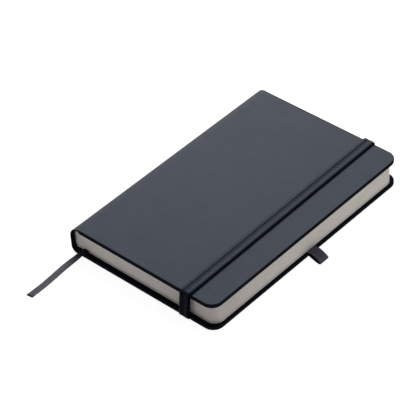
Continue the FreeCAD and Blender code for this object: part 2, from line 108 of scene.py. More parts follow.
class Nodes:
    """A short way of writing a material's node tree."""

    def __init__(self, name):
        self.material = bpy.data.materials.new(name)
        self.material.use_nodes = True
        self.tree = self.material.node_tree
        self.shader = self.tree.nodes["Principled BSDF"]

    def add(self, kind, inputs=None, **settings):
        node = self.tree.nodes.new("ShaderNode" + kind)
        for key, value in settings.items():
            setattr(node, key, value)
        for key, value in (inputs or {}).items():
            if isinstance(value, bpy.types.NodeSocket):
                self.tree.links.new(value, node.inputs[key])
            else:
                node.inputs[key].default_value = value
        return node

    def set(self, **values):
        """Sets the shader's sockets, to a number or to another node's output."""
        for key, value in values.items():
            socket = self.shader.inputs[key.replace("_", " ")]
            if isinstance(value, bpy.types.NodeSocket):
                self.tree.links.new(value, socket)
            else:
                socket.default_value = value

    def coordinates(self, kind="UV"):
        """Texture coordinates in millimetres."""
        source = self.add("TexCoord").outputs[kind]
        if kind == "UV":
            return source
        return self.add("VectorMath", {0: source, "Scale": 1 / MM}, operation="SCALE").outputs[0]

    def stretched(self, vector, scale):
        return self.add("Mapping", {"Vector": vector, "Scale": scale}).outputs[0]

    def noise(self, vector, scale, detail, roughness):
        return self.add("TexNoise", {"Vector": vector, "Scale": scale, "Detail": detail,
                                     "Roughness": roughness}).outputs["Fac"]

    def wave(self, vector, scale, direction):
        node = self.add("TexWave", {"Vector": vector, "Scale": scale, "Distortion": 0.0, "Detail": 0.0},
                        bands_direction=direction, wave_profile="SIN")
        return node.outputs["Fac"]

    def ramp(self, fac, low, high):
        """Grey ramp between two stops of (position, grey)."""
        node = self.add("ValToRGB", {"Fac": fac})
        for element, (position, grey) in zip(node.color_ramp.elements, (low, high)):
            element.position = position
            element.color = (grey, grey, grey, 1.0)
        return node.outputs["Color"]

    def mix(self, fac, a, b, blend="MIX"):
        node = self.add("Mix", data_type="RGBA", blend_type=blend)
        for index, value in ((0, fac), (6, a), (7, b)):
            socket = node.inputs[index]
            if isinstance(value, bpy.types.NodeSocket):
                self.tree.links.new(value, socket)
            elif index == 0:
                socket.default_value = value
            else:
                socket.default_value = (*value, 1.0)
        return node.outputs[2]

    def math(self, operation, a, b=0.0):
        return self.add("Math", {0: a, 1: b}, operation=operation).outputs[0]

    def remap(self, value, low, high):
        """Takes 0 to 1 to low to high."""
        return self.add("MapRange", {"Value": value, "To Min": low, "To Max": high}).outputs[0]

    def remap_sine(self, value):
        """Takes -1 to 1 to 0 to 1."""
        return self.add("MapRange", {"Value": value, "From Min": -1.0, "From Max": 1.0}).outputs[0]

    def fade(self, value, start, end):
        """1 up to start, 0 from end on, eased between them."""
        return self.add("MapRange", {"Value": value, "From Min": start, "From Max": end, "To Min": 1.0,
                                     "To Max": 0.0}, interpolation_type="SMOOTHSTEP").outputs[0]

    def bump(self, *layers):
        """layers are (height, depth in millimetres), coarse first."""
        normal = None
        for height, depth in layers:
            inputs = {"Height": height, "Strength": 1.0, "Distance": depth * MM}
            if normal is not None:
                inputs["Normal"] = normal
            normal = self.add("Bump", inputs).outputs[0]
        self.set(Normal=normal)


def scaled(colour, factor):
    """A colour times one number, or times one number for each channel."""
    factors = factor if isinstance(factor, tuple) else (factor,) * 3
    return tuple(c * f for c, f in zip(colour, factors))


# ---------------------------------------------------------------- materials

SKIN_SHINE = (0.57, 0.69, 1.0)
THREAD_SHINE = (0.52, 0.66, 1.0)
SATIN_SHINE = (0.74, 0.77, 1.0)

# Painted shade on the page edges, darkest round the corner of the fore edge and the tail: its place, how far
# it reaches and its colour
EDGE_SHADE_CENTRE = (46.0, -68.0, 8.0)
EDGE_SHADE_REACH = 75.0
EDGE_SHADE_COLOUR = (0.80, 0.795, 0.80)

# How far the elastic's threads lean, along for each millimetre across
THREAD_SKEW = 0.8

# Painted shade on the ribbon near its root, where it leaves the pages: full up to the first distance from the
# root, gone by the second
ROOT_SHADE_FULL = 3.5
ROOT_SHADE_END = 7.5
RIBBON_WARP = 0.16
RIBBON_WEFT = 0.42
SELVEDGE = 1.72


def cover_material(name, colour, specular, roughness):
    """Soft-touch coated skin: a very fine leather-like grain, faint handling marks."""
    n = Nodes(name)
    place = n.coordinates()
    pores = n.add("TexVoronoi", {"Vector": place, "Scale": 3.2, "Randomness": 1.0}).outputs["Distance"]
    fine = n.noise(place, 9.0, 3.0, 0.6)
    cloud = n.noise(place, 0.045, 3.0, 0.55)
    rub = n.noise(n.stretched(place, (0.05, 0.3, 1.0)), 1.0, 4.0, 0.65)
    tone = n.mix(n.ramp(cloud, (0.3, 0.0), (0.7, 1.0)), scaled(colour, 0.86), scaled(colour, 1.16))
    n.set(Base_Color=n.mix(n.remap(fine, 0.0, 0.35), tone, scaled(colour, 0.7)))
    n.set(Roughness=n.remap(rub, roughness - 0.05, roughness + 0.07))
    n.shader.inputs["Specular IOR Level"].default_value = specular
    n.shader.inputs["Specular Tint"].default_value = (*SKIN_SHINE, 1.0)
    n.bump((cloud, 0.10), (pores, 0.030), (fine, 0.012))
    return n.material


def paper_material(name, colour, cloudiness, edge_lines=0.0, corner_shade=False):
    """Wood-free paper: fibre flecks, soft formation clouds and a faint tooth."""
    n = Nodes(name)
    place = n.coordinates("Object")
    fibre = n.noise(n.stretched(place, (1.0, 5.0, 3.0)), 2.2, 5.0, 0.6)
    cloud = n.noise(place, 0.10, 3.0, 0.5)
    tooth = n.noise(place, 14.0, 2.0, 0.6)
    shade = tuple(c * (1 - cloudiness * f) for c, f in zip(colour, (1.0, 1.1, 1.4)))
    tone = n.mix(n.ramp(cloud, (0.3, 0.0), (0.7, 1.0)), shade, colour)
    tone = n.mix(n.remap(n.ramp(fibre, (0.45, 0.0), (0.62, 1.0)), 0.0, 0.25), tone,
                 scaled(colour, (0.93, 0.90, 0.84)))
    if edge_lines:
        stack = n.noise(n.stretched(place, (0.02, 0.02, 9.0)), 1.0, 4.0, 0.7)
        tone = n.mix(n.remap(n.ramp(stack, (0.35, 0.0), (0.65, 1.0)), 0.0, edge_lines), tone,
                     scaled(colour, 0.62))
    # Painted shade round one corner of the page edges
    if corner_shade:
        away = n.add("VectorMath", {0: place, 1: EDGE_SHADE_CENTRE}, operation="DISTANCE").outputs["Value"]
        tone = n.mix(n.fade(away, 0.0, EDGE_SHADE_REACH), tone, n.mix(1.0, tone, EDGE_SHADE_COLOUR, "MULTIPLY"))
    n.set(Base_Color=tone, Roughness=n.remap(tooth, 0.82, 0.95))
    n.shader.inputs["Specular IOR Level"].default_value = 0.25
    n.bump((fibre, 0.012), (tooth, 0.006))
    return n.material


def elastic_material(name, colour, rib_pitch, thread_pitch, specular):
    """Woven elastic: lengthwise ribs across V and oblique threads along U, both in millimetres.

    A point attribute of the mesh paints shade into the valleys of the weave and onto its rolled edges.
    """
    n = Nodes(name)
    place = n.coordinates()
    split = n.add("SeparateXYZ", {"Vector": place})
    along, across = split.outputs[0], split.outputs[1]
    rib_phase = n.math("MULTIPLY", across, 2 * math.pi / rib_pitch)
    rib = n.math("SUBTRACT", 1.0, n.remap_sine(n.math("COSINE", rib_phase)))
    skew = n.math("MULTIPLY", across, THREAD_SKEW)
    thread_phase = n.math("MULTIPLY", n.math("ADD", along, skew), 2 * math.pi / thread_pitch)
    thread = n.remap_sine(n.math("SINE", thread_phase))
    fuzz = n.noise(place, 6.0, 3.0, 0.65)
    wear = n.noise(n.stretched(place, (0.08, 0.6, 1.0)), 1.0, 3.0, 0.6)
    weave = n.math("MULTIPLY", n.remap(rib, 0.35, 1.0), n.remap(thread, 0.20, 1.0))
    tone = n.mix(weave, scaled(colour, 0.15), scaled(colour, 2.1))
    tone = n.mix(n.remap(wear, 0.0, 0.4), tone, scaled(colour, 1.9))
    # Painted shade in the weave's valleys and on the rolled edges, read from a point attribute
    shade = n.add("Attribute", attribute_name="valley_shade").outputs["Fac"]
    tone = n.mix(shade, tone, scaled(colour, 0.06))
    n.set(Base_Color=n.mix(n.remap(fuzz, 0.0, 0.35), tone, scaled(colour, 0.5)))
    n.set(Roughness=n.math("ADD", n.remap(shade, 0.34, 0.85), n.remap(thread, 0.14, 0.0)))
    n.shader.inputs["Specular IOR Level"].default_value = specular
    n.shader.inputs["Specular Tint"].default_value = (*THREAD_SHINE, 1.0)
    n.bump((rib, 0.07), (thread, 0.10), (fuzz, 0.02))
    return n.material


def ribbon_material(name, colour):
    """Satin ribbon: long warp floats that shine, fine crossing threads, firmer selvedges."""
    n = Nodes(name)
    place = n.coordinates()
    split = n.add("SeparateXYZ", {"Vector": place})
    along, across = split.outputs[0], split.outputs[1]
    warp = n.math("SINE", n.math("MULTIPLY", across, 2 * math.pi / RIBBON_WARP))
    weft = n.math("SINE", n.math("MULTIPLY", along, 2 * math.pi / RIBBON_WEFT))
    floats = n.noise(n.stretched(place, (0.8, 7.0, 1.0)), 1.0, 3.0, 0.6)
    cloud = n.noise(place, 0.22, 2.0, 0.5)
    edge = n.math("GREATER_THAN", n.math("ABSOLUTE", across), SELVEDGE)
    tone = n.mix(floats, scaled(colour, 0.6), scaled(colour, 1.4))
    tone = n.mix(n.remap(cloud, 0.0, 0.5), tone, scaled(colour, (1.5, 1.4, 1.4)))
    tone = n.mix(n.math("MULTIPLY", edge, 0.5), tone, scaled(colour, 0.55))
    # Painted shade near the ribbon's root: darker colour and less shine
    root_shade = n.fade(along, ROOT_SHADE_FULL, ROOT_SHADE_END)
    tone = n.mix(root_shade, tone, scaled(colour, (0.25, 0.25, 0.5)))
    n.set(Base_Color=tone, Roughness=n.remap(floats, 0.34, 0.52),
          Specular_IOR_Level=n.remap(root_shade, 0.33, 0.04))
    n.shader.inputs["Specular Tint"].default_value = (*SATIN_SHINE, 1.0)
    n.shader.inputs["Sheen Weight"].default_value = 0.10
    n.bump((warp, 0.010), (weft, 0.012), (floats, 0.02))
    return n.material


def board_material(name, colour):
    """Grey board: short recycled fibres in random directions, dull."""
    n = Nodes(name)
    place = n.coordinates("Object")
    fibre = n.noise(n.stretched(place, (2.0, 0.6, 4.0)), 1.6, 6.0, 0.7)
    fleck = n.add("TexVoronoi", {"Vector": place, "Scale": 1.4}).outputs["Distance"]
    tone = n.mix(fibre, scaled(colour, 0.75), scaled(colour, 1.2))
    n.set(Base_Color=n.mix(n.remap(fleck, 0.0, 0.2), tone, scaled(colour, 0.6)))
    n.set(Roughness=n.remap(fibre, 0.85, 0.98))
    n.shader.inputs["Specular IOR Level"].default_value = 0.02
    n.bump((fibre, 0.03))
    return n.material


def thread_material(name, colour, pitch):
    """Twisted or open-woven cotton; pitch is the repeat in millimetres."""
    n = Nodes(name)
    place = n.coordinates("Object")
    warp = n.wave(place, 1 / pitch, "Y")
    weft = n.wave(place, 1 / pitch, "Z")
    hair = n.noise(place, 8.0, 3.0, 0.6)
    weave = n.math("MULTIPLY", warp, weft)
    tone = n.mix(weave, scaled(colour, 0.6), colour)
    n.set(Base_Color=n.mix(n.remap(hair, 0.0, 0.3), tone, scaled(colour, 0.8)))
    n.set(Roughness=n.remap(hair, 0.8, 0.95))
    n.bump((weave, 0.05), (hair, 0.01))
    return n.material


cover = cover_material("soft_touch_cover", (0.0125, 0.0152, 0.0225), 0.148, 0.42)
# A darker, nearly unshiny copy of the cover's skin: painted shade, put on the rims and on the inner face
cover_shaded_copy = cover_material("soft_touch_painted_shade", (0.0052, 0.0066, 0.0115), 0.015, 0.80)
spine_lining = board_material("spine_lining_paper", (0.006, 0.007, 0.010))
page = paper_material("page_paper", (0.80, 0.775, 0.715), 0.02)
page_edge = paper_material("page_edge_paper", (0.64, 0.60, 0.585), 0.10, edge_lines=0.30, corner_shade=True)
endpaper = paper_material("endpaper", (0.76, 0.73, 0.66), 0.03)
elastic = elastic_material("woven_elastic", (0.0100, 0.0130, 0.0225), 0.80, 1.50, 0.20)
# A darker, nearly unshiny copy of the elastic: painted shade, put on the straps' sides and on rows that don't
# face up
elastic_shaded_copy = elastic_material("woven_elastic_painted_shade", (0.0030, 0.0040, 0.0075), 0.80, 1.50, 0.015)
loop_elastic = elastic_material("pen_loop_elastic", (0.150, 0.148, 0.196), 1.248, 0.60, 0.25)
satin = ribbon_material("satin_ribbon", (0.022, 0.022, 0.034))
board = board_material("grey_board", (0.30, 0.285, 0.25))
gauze = thread_material("gauze", (0.62, 0.60, 0.54), 0.9)
thread = thread_material("sewing_thread", (0.66, 0.64, 0.58), 0.35)


# ---------------------------------------------------------------- mesh helpers

class Surface:
    """Collects faces with a texture place for each corner, then makes one object of them."""

    def __init__(self):
        self.points = []
        self.faces = []
        self.places = []
        self.slots = []
        self.valley_shades = []

    def point(self, place, valley_shade=0.0):
        """Adds a point and gives its number; the last argument is how much painted shade it gets in the
        weave's valleys, from 0 to 1.
        """
        self.points.append(Vector(place))
        self.valley_shades.append(valley_shade)
        return len(self.points) - 1

    def face(self, corners, places, slot=0):
        self.faces.append(corners)
        self.places.append(places)
        self.slots.append(slot)

    def strip(self, first, second, first_places, second_places, slot=0):
        """Quads between two rows of points of the same length."""
        for i in range(len(first) - 1):
            self.face((first[i], first[i + 1], second[i + 1], second[i]),
                      (first_places[i], first_places[i + 1], second_places[i + 1], second_places[i]), slot)

    def make(self, name, materials, shade=True):
        mesh = bpy.data.meshes.new(name)
        mesh.from_pydata([p * MM for p in self.points], [], self.faces)
        layer = mesh.uv_layers.new(name="UVMap")
        flat = [place for places in self.places for place in places]
        for corner, place in zip(layer.data, flat):
            corner.uv = place
        # Painted shade for the weave's valleys, kept as a point attribute
        if any(self.valley_shades):
            layer = mesh.attributes.new("valley_shade", "FLOAT", "POINT")
            for value, valley_shade in zip(layer.data, self.valley_shades):
                value.value = valley_shade
        for material in materials:
            mesh.materials.append(material)
        for polygon, slot in zip(mesh.polygons, self.slots):
            polygon.material_index = slot
            polygon.use_smooth = shade
        mesh.validate()
        mesh.update()
        item = bpy.data.objects.new(name, mesh)
        scene.collection.objects.link(item)
        return item


def spread(start, end, count):
    """count equal steps from start to end, with both ends."""
    return [start + (end - start) * i / count for i in range(count + 1)]


# ---------------------------------------------------------------- ribbon marker

RIBBON_ROUTE = [
    (-37.9, -67.6, 3.516),
    (-38.9, -70.2, 3.40),
    (-40.3, -73.0, 1.30),
    (-41.3, -76.2, 0.13),
    (-41.15, -81.6, 0.13),
    (-40.4, -89.6, 0.13),
    (-39.8, -98.1, 0.13),
    (-39.85, -106.3, 0.13),
]
RIBBON_WIDTH = 3.7
RIBBON_THICKNESS = 0.22
RIBBON_ORDER = 3
RIBBON_STEPS = 10
RIBBON_ACROSS = (-1.0, -0.93, -0.6, -0.2, 0.2, 0.6, 0.93, 1.0)
SELVEDGE_THINNING = 0.55

# The cut end leans back by this much at its sides, and the lean grows over this share of the length
CUT_SLANT = -0.25
CUT_SHARE = 0.1


def steered_line(name, route, order, steps):
    """Points along the smooth line that a route steers, in millimetres."""
    curve = bpy.data.curves.new(name, "CURVE")
    curve.dimensions = "3D"
    curve.resolution_u = steps
    spline = curve.splines.new("NURBS")
    spline.points.add(len(route) - 1)
    for control, place in zip(spline.points, route):
        control.co = (*(c * MM for c in place), 1.0)
    spline.order_u = order
    spline.use_endpoint_u = True
    carrier = bpy.data.objects.new(name, curve)
    scene.collection.objects.link(carrier)
    mesh = bpy.data.meshes.new_from_object(carrier)
    line = [v.co.copy() / MM for v in mesh.vertices]
    bpy.data.objects.remove(carrier)
    bpy.data.meshes.remove(mesh)
    return line


def make_ribbon():
    """The loose end: a thin flat strip from the pages down to the table."""
    line = steered_line("ribbon_route", RIBBON_ROUTE, RIBBON_ORDER, RIBBON_STEPS)
    surface = Surface()
    rows = []
    length = 0.0
    for i, here in enumerate(line):
        before, after = line[max(i - 1, 0)], line[min(i + 1, len(line) - 1)]
        ahead = (after - before).normalized()
        side = ahead.cross(Vector((0, 0, 1))).normalized()
        normal = side.cross(ahead)
        if i:
            length += (here - line[i - 1]).length
        share = i / (len(line) - 1)
        slant = CUT_SLANT * smooth((share - 1 + CUT_SHARE) / CUT_SHARE)
        upper, lower, places = [], [], []
        for a in RIBBON_ACROSS:
            flat = here + side * (a * RIBBON_WIDTH / 2) - ahead * (slant * a)
            half = RIBBON_THICKNESS / 2 * (SELVEDGE_THINNING if abs(a) == 1.0 else 1.0)
            upper.append(surface.point(flat + normal * half))
            lower.append(surface.point(flat - normal * half))
            places.append((length - slant * a, a * RIBBON_WIDTH / 2))
        rows.append((upper, lower, places))
    for (up0, low0, place0), (up1, low1, place1) in zip(rows, rows[1:]):
        surface.strip(up0, up1, place0, place1)
        surface.strip(low1, low0, place1, place0)
        for e in (0, -1):
            ring = (up0[e], up1[e], low1[e], low0[e]) if e else (up1[e], up0[e], low0[e], low1[e])
            surface.face(ring, (place0[e], place1[e], place1[e], place0[e]))
    for (up, low, place), flip in ((rows[0], True), (rows[-1], False)):
        ring = up + low[::-1]
        places = place + place[::-1]
        surface.face(ring[::-1] if flip else ring, places[::-1] if flip else places)
    ribbon = surface.make("ribbon", [satin])
    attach(ribbon, "back_cover")
    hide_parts("ribbon_marker")


make_ribbon()


# ---------------------------------------------------------------- case

band_low, band_high = node_box("elastic_band")
CASE_TOP = node_box("front_cover_wrap")[1].z
HALF_LENGTH = node_box("back_cover_wrap")[1].y
FORE_EDGE = node_box("back_cover_wrap")[1].x
SPINE_FACE = node_box("spine_wrap")[0].x
COVER_DEPTH = 2.15
SPINE_DEPTH = 0.90
CORNER = 6.0
FOOT_RADIUS = 3.5
SHOULDER_RADIUS = 6.5
SEAM_HEIGHT = 8.2

# The front case gets thinner where it folds, by FOLD_THINNING at the middle of the shoulder
FOLD_THINNING = 0.42
FOLD_HALF_WIDTH = 3.4

# Rounding of the rims, at the outer and the inner face of a full cover
EDGE_ROUND = 0.38
INNER_ROUND = 0.28
RIM_STEPS = 6

# The underside is let in for the band, from the slots out to the rim
CHANNEL_DEPTH = 1.05
CHANNEL_END = 54.95
CHANNEL_RAMP = 0.12
CHANNEL_PLAY = 0.05

# How the skin is divided: columns along the unrolled cover, rows from the tail to the head
FOLD_COLUMNS = 22
COVER_COLUMNS = 12
CORNER_COLUMNS = 12
EDGE_COLUMN = 0.4
COVER_START = 3.0
MIDDLE_ROWS = 10
MIDDLE_ROW_END = 60.0
LAST_ROW = 69.0
ROW_LIMIT = 69.4

# How far the spine's lining paper reaches past the thin part, and where the inner face's texture lies
LINING_REACH = 0.4
INNER_FACE_SHIFT = 200.0


def curved_case(radius, up):
    """How the skin is rolled round the spine's corner.

    Gives placed(s, y, h), the place of a point of the unrolled skin, where s runs from the fore edge
    to the spine and h inwards; the s of the seam on the spine; and the s where the corner starts.
    """
    turn_x = SPINE_FACE + radius
    turn_z = CASE_TOP - radius if up > 0 else radius
    outer_z = CASE_TOP if up > 0 else 0.0

    def placed(s, y, h):
        if s >= turn_x:
            return Vector((s, y, outer_z - up * h))
        angle = (turn_x - s) / radius
        if angle <= math.pi / 2:
            reach = radius - h
            return Vector((turn_x - reach * math.sin(angle), y, turn_z + up * reach * math.cos(angle)))
        down = turn_x - radius * math.pi / 2 - s
        return Vector((SPINE_FACE + h, y, turn_z - up * down))

    seam = turn_x - radius * math.pi / 2 - abs(turn_z - SEAM_HEIGHT)
    return placed, seam, turn_x


def no_channel(s, y):
    """The outer face of the front case is let in nowhere."""
    return 0.0


def band_channel(s, y):
    """How far the outer face is let in for the band."""
    left = smooth((s - (band_low.x - CHANNEL_PLAY)) / CHANNEL_RAMP + 1)
    right = smooth(((band_high.x + CHANNEL_PLAY) - s) / CHANNEL_RAMP + 1)
    along = smooth((abs(y) - CHANNEL_END) / CHANNEL_RAMP + 1)
    return CHANNEL_DEPTH * left * right * along


def case_skin(name, radius, up, thinning, fold_thinning, extra_columns, extra_rows, let_in):
    """One half of the case: a cover with rounded rims, the round corner and half of the spine."""
    placed, seam, turn_x = curved_case(radius, up)
    thick_start, thin_end = thinning
    fold_s = turn_x - radius * math.pi / 4
    surface = Surface()

    def depth(s):
        full = SPINE_DEPTH + (COVER_DEPTH - SPINE_DEPTH) * smooth((s - thin_end) / (thick_start - thin_end))
        return full - fold_thinning * smooth(1 - abs(s - fold_s) / FOLD_HALF_WIDTH)

    def rim(s):
        share = depth(s) / COVER_DEPTH
        return EDGE_ROUND * share, INNER_ROUND * share

    straight = [seam] + spread(turn_x - radius * math.pi / 2, turn_x, FOLD_COLUMNS)
    straight += [thick_start, thick_start + EDGE_COLUMN] + extra_columns
    straight += spread(thick_start + COVER_START, FORE_EDGE - CORNER, COVER_COLUMNS)
    straight = sorted(set(round(s, 4) for s in straight))
    arc = [math.pi / 2 * k / CORNER_COLUMNS for k in range(1, CORNER_COLUMNS + 1)]
    rows = set(extra_rows + [-y for y in extra_rows] + [-LAST_ROW, LAST_ROW])
    rows = sorted(rows.union(spread(-MIDDLE_ROW_END, MIDDLE_ROW_END, MIDDLE_ROWS)))
    limits = [-1.0] + [y / ROW_LIMIT for y in rows] + [1.0]

    def outline(inset):
        """Half lengths at each column for a rim moved in by inset."""
        columns = [(s, HALF_LENGTH - inset) for s in straight]
        centre = FORE_EDGE - CORNER
        reach = CORNER - inset
        columns += [(centre + reach * math.sin(a), HALF_LENGTH - CORNER + reach * math.cos(a)) for a in arc]
        return columns

    columns = outline(0.0)

    def strip(first, second, first_places, second_places, slot, flip):
        if flip:
            surface.strip(second, first, second_places, first_places, slot)
        else:
            surface.strip(first, second, first_places, second_places, slot)

    def grid(inset_of, h_of, shift, slot_of, flip):
        """The outer or the inner face, up to its rim."""
        ids, places = [], []
        for column, (base, _) in enumerate(columns):
            s, half = outline(inset_of(base))[column]
            ids.append([surface.point(placed(s, half * f, h_of(s, half * f))) for f in limits])
            places.append([(s + shift, half * f) for f in limits])
        for i in range(len(ids) - 1):
            slot = slot_of(places[i][0][0] - shift)
            strip(ids[i], ids[i + 1], places[i], places[i + 1], slot, flip)
        return ids

    outer = grid(lambda s: rim(s)[0], let_in, 0.0, lambda s: 0, up < 0)
    # The inner face takes the lining paper near the spine and elsewhere the cover's darker copy, which is
    # painted shade
    inner = grid(lambda s: rim(s)[1], lambda s, y: depth(s), INNER_FACE_SHIFT,
                 lambda s: 2 if s < thin_end + LINING_REACH else 1, up > 0)

    def border(ids):
        """Ids round the rim, from the seam at the tail, past the fore edge, to the seam at the head."""
        return [row[0] for row in ids] + ids[-1][1:-1] + [row[-1] for row in ids][::-1]

    count = len(columns)
    fore_count = len(limits) - 2
    total = 2 * count + fore_count

    def rim_row(index):
        """Column or row of a rim point, and its side of the book: -1 tail, 0 fore edge, 1 head."""
        if index < count:
            return index, -1
        if index < count + fore_count:
            return index - count + 1, 0
        return total - 1 - index, 1

    def rim_point(index, inset, h):
        """Point of the rim moved in by inset; also the unrolled place on the texture."""
        row, end = rim_row(index)
        if end:
            s, half = outline(inset)[row]
            y = end * half
            turn = arc[row - len(straight)] if row >= len(straight) else 0.0
            outward = (math.sin(turn), end * math.cos(turn))
        else:
            s = FORE_EDGE - inset
            y = (HALF_LENGTH - CORNER) * limits[row]
            outward = (1.0, 0.0)
        place = (s + outward[0] * (h - inset), y + outward[1] * (h - inset))
        return placed(s, y, h), place

    def ring_values(index):
        """Outer and inner rounding of the rim at a point, and the depths it starts and ends at."""
        row, end = rim_row(index)
        s = columns[row][0] if end else FORE_EDGE
        y = rim_point(index, 0.0, 0.0)[0].y
        return *rim(s), let_in(s, y), depth(s)

    values = [ring_values(i) for i in range(total)]
    rings = [border(outer)]
    ring_places = [[rim_point(i, v[0], v[2])[1] for i, v in enumerate(values)]]
    for step in range(1, 2 * RIM_STEPS + 1):
        ids, places = [], []
        for i, (round_out, round_in, start, end) in enumerate(values):
            if step <= RIM_STEPS:
                angle = step / RIM_STEPS * math.pi / 2
                inset, h = round_out * (1 - math.sin(angle)), start + round_out * (1 - math.cos(angle))
            else:
                angle = (step - RIM_STEPS - 1) / RIM_STEPS * math.pi / 2
                inset, h = round_in * (1 - math.cos(angle)), end - round_in * (1 - math.sin(angle))
            point, place = rim_point(i, inset, h)
            ids.append(surface.point(point))
            places.append(place)
        rings.append(ids)
        ring_places.append(places)
    rings.append(border(inner))
    ring_places.append([rim_point(i, v[1], v[3])[1] for i, v in enumerate(values)])
    # Past its first ring the rim takes the cover's darker copy, which is painted shade
    for k in range(len(rings) - 1):
        strip(rings[k], rings[k + 1], ring_places[k], ring_places[k + 1], min(k, 1), up > 0)
    return surface.make(name, [cover, cover_shaded_copy, spine_lining])


# Where each cover has its full depth, and where the thin spine part ends, on the unrolled skin
FRONT_THINNING = (-39.75, -41.4)
BACK_THINNING = (-42.75, -44.1)
front_case = case_skin("front_case", SHOULDER_RADIUS, +1, FRONT_THINNING, FOLD_THINNING, [], [], no_channel)
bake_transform(front_case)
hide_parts("front_cover_wrap", "spine_wrap", "spine_liner")

channel_low, channel_high = band_low.x - CHANNEL_PLAY, band_high.x + CHANNEL_PLAY
channel_columns = [channel_low - CHANNEL_RAMP, channel_low, band_low.x + EDGE_COLUMN,
                   band_high.x - EDGE_COLUMN, channel_high, channel_high + CHANNEL_RAMP]
channel_rows = [CHANNEL_END - CHANNEL_RAMP, CHANNEL_END]
back_case = case_skin("back_case", FOOT_RADIUS, -1, BACK_THINNING, 0.0, channel_columns, channel_rows,
                      band_channel)
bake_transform(back_case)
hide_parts("back_cover_wrap", "spine_wrap", "spine_liner")


# ---------------------------------------------------------------- leaves

SIGNATURE_COUNT = 12
SHEETS_PER_SIGNATURE = 4
SHEET_FILL = 0.86
PAGE_CORNER = 5.5
TIGHTEST_FOLD = 0.05
FOLD_STEPS = 4
CORNER_STEPS = 8

# How much shorter than the signature a leaf may be cut, at the fore edge and at its ends
FORE_SHORTFALL = 0.09
END_SHORTFALL = 0.07
FIRST_SEED = 100

# Columns beside the fold and beside the rounded corner, and rows from the tail to the head
FOLD_MARGIN = 3
CORNER_MARGIN = 1
LEAF_ROWS = (-1.0, -0.5, 0.0, 0.5, 1.0)


def add_leaf(surface, spine_x, centre_z, half_gap, thickness, side, fore_x, half_length):
    """Half of a folded sheet: from the middle of its fold at the spine out to the fore edge."""
    turn = max(half_gap + thickness / 2, TIGHTEST_FOLD)
    turn_x = spine_x + turn
    quarter = turn * math.pi / 2

    def placed(s, y, h):
        """s from the fold's middle (0) outwards; h is 0 outside, thickness inside the fold."""
        reach = turn + thickness / 2 - h
        if s < quarter:
            angle = math.pi / 2 - s / turn
            return Vector((turn_x - reach * math.sin(angle), y, centre_z + side * reach * math.cos(angle)))
        return Vector((turn_x + s - quarter, y, centre_z + side * reach))

    corner_s = fore_x - turn_x + quarter - PAGE_CORNER
    corner_y = half_length - PAGE_CORNER
    straight = spread(0, quarter, FOLD_STEPS) + [quarter + FOLD_MARGIN, corner_s - CORNER_MARGIN, corner_s]
    columns = [(s, half_length) for s in straight]
    for k in range(1, CORNER_STEPS + 1):
        angle = k / CORNER_STEPS * math.pi / 2
        columns.append((corner_s + PAGE_CORNER * math.sin(angle), corner_y + PAGE_CORNER * math.cos(angle)))
    faces = []
    for h in (0.0, thickness):
        faces.append([[surface.point(placed(s, half * f, h)) for f in LEAF_ROWS] for s, half in columns])
    places = [[(s, half * f) for f in LEAF_ROWS] for s, half in columns]

    def edge(ring, place, flip):
        surface.face(ring[::-1] if flip else ring, [place] * 4, 1)

    for i in range(len(columns) - 1):
        pairs = ((0, i, i + 1), (1, i + 1, i)) if side < 0 else ((0, i + 1, i), (1, i, i + 1))
        for level, a, b in pairs:
            surface.strip(faces[level][a], faces[level][b], places[a], places[b])
        for e in (0, -1):
            ring = [faces[0][i][e], faces[0][i + 1][e], faces[1][i + 1][e], faces[1][i][e]]
            edge(ring, places[i][e], (e == 0) == (side > 0))
    top, bottom = faces[0][-1], faces[1][-1]
    for j in range(len(LEAF_ROWS) - 1):
        edge([top[j], top[j + 1], bottom[j + 1], bottom[j]], places[-1][j], side > 0)


def make_signature(number, body):
    """Four folded sheets, each a little different in length, in the space of the CAD signature."""
    node = "signature_%02d" % number
    low, high = node_box(node)
    chance = random.Random(FIRST_SEED + number)
    surface = Surface()
    centre_z = (low.z + high.z) / 2
    pitch = (high.z - low.z) / 2 / SHEETS_PER_SIGNATURE
    thickness = pitch * SHEET_FILL
    for sheet in range(SHEETS_PER_SIGNATURE):
        outer = (high.z - low.z) / 2 - pitch * (sheet + 0.5)
        half_gap = outer - thickness / 2
        for side in (-1, 1):
            fore_x = high.x - chance.uniform(0.0, FORE_SHORTFALL)
            half_length = high.y - chance.uniform(0.0, END_SHORTFALL)
            add_leaf(surface, low.x + pitch * sheet, centre_z, half_gap, thickness, side, fore_x, half_length)
    item = surface.make("leaves_%02d" % number, [page, page_edge], shade=False)
    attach(item, body)
    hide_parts(node)


LAST_FRONT_SIGNATURE = 5
BODY_OF_MIDDLE = {6: "middle_pages_front", 7: "middle_pages_back"}
for number in range(1, SIGNATURE_COUNT + 1):
    body = BODY_OF_MIDDLE.get(number, "front_pages" if number <= LAST_FRONT_SIGNATURE else "back_cover")
    make_signature(number, body)


# ---------------------------------------------------------------- straps

# The underside rises by EDGE_THINNING towards the edges, over the last part of the half width
EDGE_THINNING = 0.2
EDGE_SHARE = 0.1

# A row whose outer normal points up by more than this takes the first material, another the last, the darker
# copy that paints shade on it
UPWARD = 0.6
TINY = 1e-6
BEND_STEPS = 8


